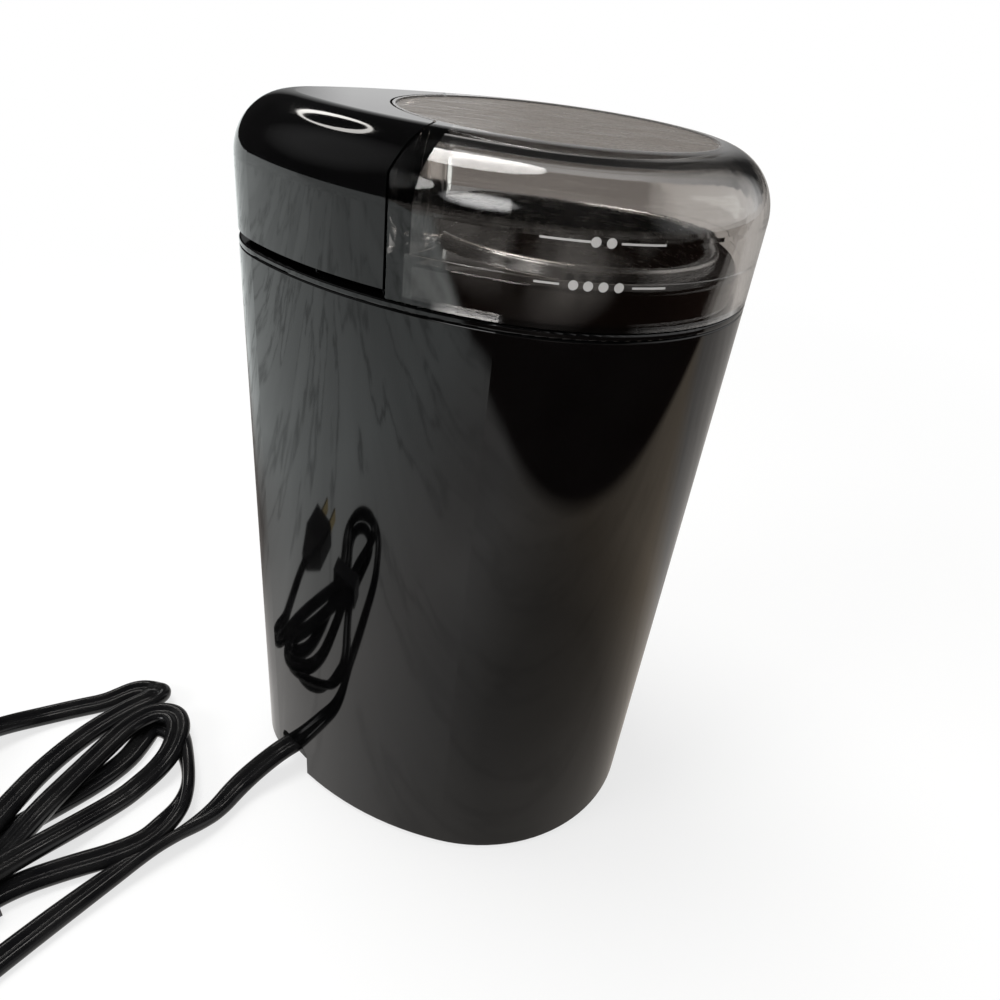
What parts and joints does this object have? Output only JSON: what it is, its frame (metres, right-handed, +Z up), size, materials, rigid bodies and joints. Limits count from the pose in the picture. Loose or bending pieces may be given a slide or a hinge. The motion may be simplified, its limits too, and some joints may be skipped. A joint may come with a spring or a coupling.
{
  "type": "electric spice grinder",
  "caption": "One-hand electric blade grinder for spices: tapered oval housing, clear lift-off lid, press-down button cap, steel bowl with twisted blade, motor and flat twin cord with plug.",
  "frame": {"origin": "middle of the housing's footprint, on the surface it stands on", "axes": "+Z up, +X towards the lid end, -X towards the button end, the cord leaves at -X -Y"},
  "size_m": [0.2285, 0.1638, 0.1785],
  "materials": {
    "black_gloss": "polished moulded shell",
    "black_moulding": "fine moulded texture",
    "clear_plastic": "clear, faintly smoked, lightly scratched",
    "switch_moulding": "moulded",
    "fan_moulding": "moulded nylon",
    "bowl_steel": "deep drawn, satin",
    "blade_steel": "stamped and ground",
    "plated_steel": "zinc plated",
    "black_rubber": "moulded",
    "core_steel": "stacked laminations, varnished",
    "copper": "enamelled copper",
    "bronze": "sintered",
    "bracket_metal": "die cast",
    "carbon": "carbon",
    "cord_pvc": "smooth glossy cord jacket",
    "tie_plastic": "plastic covered wire",
    "pin_brass": "stamped"
  },
  "bodies": {
    "base": {"housing": "black_gloss", "top_deck": "black_moulding", "grinding_bowl": "bowl_steel", "bowl_seal": "black_rubber", "stator_core": "core_steel", "field_coils": "copper", "upper_bracket": "bracket_metal", "lower_bracket": "bracket_metal", "upper_bush": "bronze", "lower_bush": "bronze", "through_bolts": "plated_steel", "rubber_mounts": "black_rubber", "mount_screws": "plated_steel", "brush_holders": "switch_moulding", "carbon_brushes": "carbon", "brush_springs": "plated_steel", "base_plate": "black_moulding", "rubber_feet": "black_rubber", "base_screws": "plated_steel", "bearing_cushion": "black_rubber", "cord_clamp": "black_moulding", "clamp_screws": "plated_steel", "switch_body": "switch_moulding", "switch_screws": "plated_steel", "return_springs": "plated_steel", "supply_cord": "cord_pvc", "plug_lead": "cord_pvc", "cord_hank": "cord_pvc", "hank_tie": "tie_plastic", "plug_body": "cord_pvc", "plug_pins": "pin_brass"},
    "lid": {"lid": "clear_plastic"},
    "button": {"button_cap": "black_gloss", "guide_screws": "plated_steel"},
    "plunger": {"switch_plunger": "switch_moulding"},
    "rotor": {"motor_shaft": "plated_steel", "armature_core": "core_steel", "armature_winding": "copper", "commutator": "copper", "cooling_fan": "fan_moulding", "blade_spacer": "plated_steel", "blade": "blade_steel", "blade_nut": "plated_steel"}
  },
  "joints": [
    {"name": "lid_lift", "type": "slide", "parent": "base", "child": "lid", "axis": [0, 0, 1], "range_m": [0, 0.06]},
    {"name": "button_press", "type": "slide", "parent": "base", "child": "button", "axis": [0, 0, -1], "range_m": [0, 0.0015], "stiffness_N_per_m": 800, "springref_m": -0.004, "deforming": ["return_springs"]},
    {"name": "plunger_press", "type": "slide", "parent": "base", "child": "plunger", "axis": [0, 0, -1], "range_m": [0, 0.0015]},
    {"name": "blade_spin", "type": "hinge", "parent": "base", "child": "rotor", "pos_m": [0.015, 0, 0.1], "axis": [0, 0, 1], "continuous": true}
  ],
  "couplings": [
    {"joint": "plunger_press", "follows": "button_press", "ratio": 1}
  ]
}
